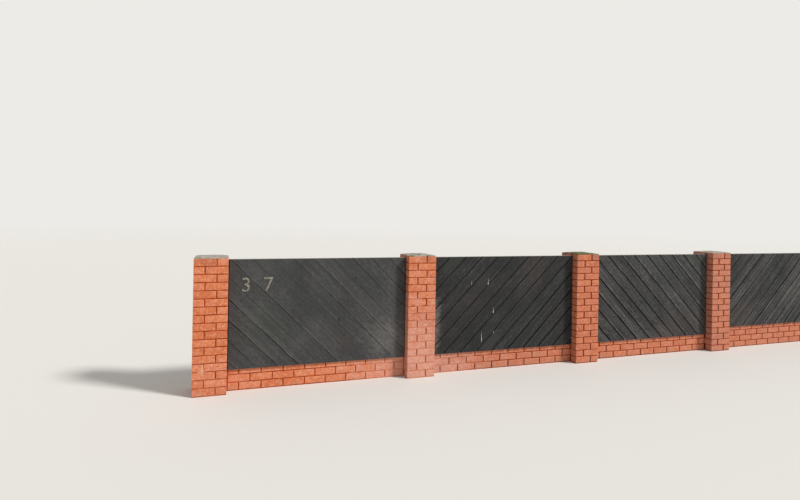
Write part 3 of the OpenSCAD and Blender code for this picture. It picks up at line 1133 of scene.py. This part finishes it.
class WALL_OT_numerals(bpy.types.Operator):
    """Fixes two plain numerals to the first bay"""

    bl_idname = "garden_wall.numerals"
    bl_label = "House numerals"

    def execute(self, context):
        sizes = context.scene.wall_fixings
        # cast aluminium under old cream paint: chalky, a little darker where it has worn
        material = plain_material("aluminium_cast_old_paint", "#6F6B5F", sizes.numeral, 0.03, 0.7)
        low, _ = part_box("board_panel_1")
        heap = Heap()
        for figure, place in NUMERALS:
            curve = bpy.data.curves.new("numeral", "FONT")
            curve.body = figure
            curve.align_x = "CENTER"
            curve.extrude = sizes.numeral_thickness / 2 - NUMERAL_BEVEL
            curve.bevel_depth = NUMERAL_BEVEL
            curve.resolution_u = 8
            holder = new_object("numeral", curve)
            context.view_layer.update()
            mesh = bpy.data.meshes.new_from_object(holder.evaluated_get(context.evaluated_depsgraph_get()))
            welded = bmesh.new()
            welded.from_mesh(mesh)
            bmesh.ops.remove_doubles(welded, verts=welded.verts[:], dist=CUT_TOUCH)
            points = np.array([vert.co for vert in welded.verts])
            faces = [[vert.index for vert in face.verts] for face in welded.faces]
            welded.free()
            least, most = points.min(axis=0), points.max(axis=0)
            scale = sizes.numeral_height / (most[1] - least[1])
            x = (points[:, 0] - (most[0] + least[0]) / 2) * scale
            y = -points[:, 2] - sizes.numeral_thickness / 2
            z = (points[:, 1] - least[1]) * scale
            heap.add(np.stack([low[0] + place + x, low[1] + y, NUMERAL_FOOT + z], axis=1), faces)
            bpy.data.objects.remove(holder)
            bpy.data.meshes.remove(mesh)
            bpy.data.curves.remove(curve)
        heap.piece("house_numerals", [material], sharp=50)
        return {"FINISHED"}


class WALL_OT_streaks(bpy.types.Operator):
    """Lets the lime streaks run down the second bay"""

    bl_idname = "garden_wall.streaks"
    bl_label = "Lime streaks"

    def execute(self, context):
        # dried lime: chalk white, thin at its edges
        material = plain_material("lime_dried", "#A8A69E", "#D3D1C9", 0.01, 0.9)
        low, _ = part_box("board_panel_2")
        angles = 2 * math.pi * np.arange(STREAK_SPOKES) / STREAK_SPOKES
        heap = Heap()
        for number, (across, top, length, width) in enumerate(STREAKS):
            rows = []
            for share in np.linspace(0, 1, STREAK_ROWS):
                down = share * length
                ragged = 0.8 + 0.5 * noise.noise(Vector((down / STREAK_RAGGED, number * 5.7, 2)))
                # narrow above and widest near its foot
                swell = math.sin(math.pi * share**1.6) ** 0.5 * (0.3 + 0.7 * share) * ragged
                sway = STREAK_SWAY * noise.noise(Vector((down / STREAK_SWAY_SIZE, number * 3.3, 0)))
                half = max(STREAK_LEAST[0], width / 2 * swell)
                thick = max(STREAK_LEAST[1], STREAK_THICK * swell)
                x = low[0] + across + sway + half * np.cos(angles)
                y = low[1] - thick * np.sin(angles)
                rows.append(np.stack([x, y, np.full(STREAK_SPOKES, top - down)], axis=1))
            heap.add(np.concatenate(rows), skin(STREAK_ROWS, STREAK_SPOKES))
        heap.piece("bay_2_lime_streaks", [material], sharp=60)
        return {"FINISHED"}


# stage

FLOOR_RADIUS = 90.0
FLOOR_POINTS = 64
KEY_STRENGTH = 3.2
SKY_STRENGTH = 0.5
# the lamp's softness, and its place round from straight in front of the wall and up, in degrees
KEY_SPREAD = 10.0
KEY_PLACE = (54, 40)
# the floor turns into the background's colour between these distances from the wall, in metres
HORIZON = (15.0, 70.0)
BACKGROUND = "#EDEBE7"
SENSOR_WIDTH = 36


def seen_share(node):
    """1 on rays that show the background: straight from the camera, mirrored, or through glass."""
    path = node("LightPath")
    mirrored = node("Math", (path["Is Glossy Ray"], path["Is Transmission Ray"]), operation="MAXIMUM")[0]
    return node("Math", (path["Is Camera Ray"], mirrored), operation="MAXIMUM")[0]


def studio_floor(look):
    """A matt floor that turns into the background's colour far from the wall."""
    finish, node, place = new_material("studio_floor_matt")
    shader = node("BsdfPrincipled", {"Base Color": look.floor, "Roughness": 0.95})[0]
    away = node("VectorMath", (place,), operation="LENGTH")["Value"]
    reach = {"Value": away, "From Min": HORIZON[0], "From Max": HORIZON[1]}
    faded = node("MapRange", reach, interpolation_type="SMOOTHSTEP")[0]
    share = node("Math", (faded, seen_share(node)), operation="MULTIPLY")[0]
    haze = node("Emission", {"Color": BACKGROUND, "Strength": 1.0})[0]
    node("OutputMaterial", {"Surface": node("MixShader", (share, shader, haze))[0]})
    mesh = bpy.data.meshes.new("studio_floor")
    angles = 2 * math.pi * np.arange(FLOOR_POINTS) / FLOOR_POINTS
    rim = [(FLOOR_RADIUS * math.cos(angle), FLOOR_RADIUS * math.sin(angle), 0.0) for angle in angles]
    mesh.from_pydata(rim, [], [tuple(range(FLOOR_POINTS))])
    mesh.materials.append(finish)
    return new_object("studio_floor", mesh)


class WALL_OT_stage(bpy.types.Operator):
    """Sets the floor, the lamps and the camera"""

    bl_idname = "garden_wall.stage"
    bl_label = "Studio"

    def execute(self, context):
        look = context.scene.wall_stage
        scene = context.scene
        scene.view_settings.view_transform = "Standard"
        floor = studio_floor(look)
        scene.world = bpy.data.worlds.new("studio_sky")
        scene.world.use_nodes = True
        scene.world.node_tree.nodes.clear()
        node = partial(add_node, scene.world.node_tree)
        light = node("Background", {"Color": "#FFFFFF", "Strength": SKY_STRENGTH})[0]
        seen = node("Background", {"Color": BACKGROUND, "Strength": 1.0})[0]
        node("OutputWorld", {"Surface": node("MixShader", (seen_share(node), light, seen))[0]})
        lamp = bpy.data.lights.new("key_lamp", "SUN")
        lamp.energy = KEY_STRENGTH
        lamp.angle = math.radians(KEY_SPREAD)
        key = new_object("key_lamp", lamp)
        round_by, up_by = (math.radians(degrees) for degrees in KEY_PLACE)
        key.rotation_euler = (math.pi / 2 - up_by, 0, round_by)
        camera = bpy.data.cameras.new("camera")
        camera.lens = look.lens
        camera.sensor_width = SENSOR_WIDTH
        camera.shift_y = look.shift
        scene.camera = new_object("camera", camera)
        scene.camera.location = look.camera_place
        scene.camera.rotation_euler = (math.pi / 2, -look.camera_roll, -look.camera_turn)
        return {"FINISHED"}


# panel, registration and run

OPERATORS = (
    WALL_OT_piers,
    WALL_OT_plinths,
    WALL_OT_cappings,
    WALL_OT_panels,
    WALL_OT_framing,
    WALL_OT_fixings,
    WALL_OT_numerals,
    WALL_OT_streaks,
    WALL_OT_stage,
)
SETTINGS = {
    "wall_brickwork": BrickworkSettings,
    "wall_boards": BoardSettings,
    "wall_fixings": FixingSettings,
    "wall_stage": StageSettings,
}


class WALL_PT_sidebar(bpy.types.Panel):
    """Sizes, colours and building steps of the wall"""

    bl_label = "Garden Wall"
    bl_space_type = "VIEW_3D"
    bl_region_type = "UI"
    bl_category = "Garden Wall"

    def draw(self, context):
        for key, group in SETTINGS.items():
            column = self.layout.column()
            column.label(text=group.__doc__)
            for prop in group.__annotations__:
                column.prop(getattr(context.scene, key), prop)
        for operator in OPERATORS:
            self.layout.operator(operator.bl_idname)


CLASSES = (*SETTINGS.values(), *OPERATORS, WALL_PT_sidebar)


def register():
    """Registers the settings, operators and panel."""
    for each in CLASSES:
        bpy.utils.register_class(each)
    for key, group in SETTINGS.items():
        setattr(bpy.types.Scene, key, PointerProperty(type=group))


def unregister():
    """Takes them all out again."""
    for key in SETTINGS:
        delattr(bpy.types.Scene, key)
    for each in reversed(CLASSES):
        bpy.utils.unregister_class(each)


def main():
    """Builds every piece and the stage."""
    register()
    for operator in OPERATORS:
        getattr(bpy.ops.garden_wall, operator.bl_idname.split(".")[1])()


if __name__ == "__main__":
    main()
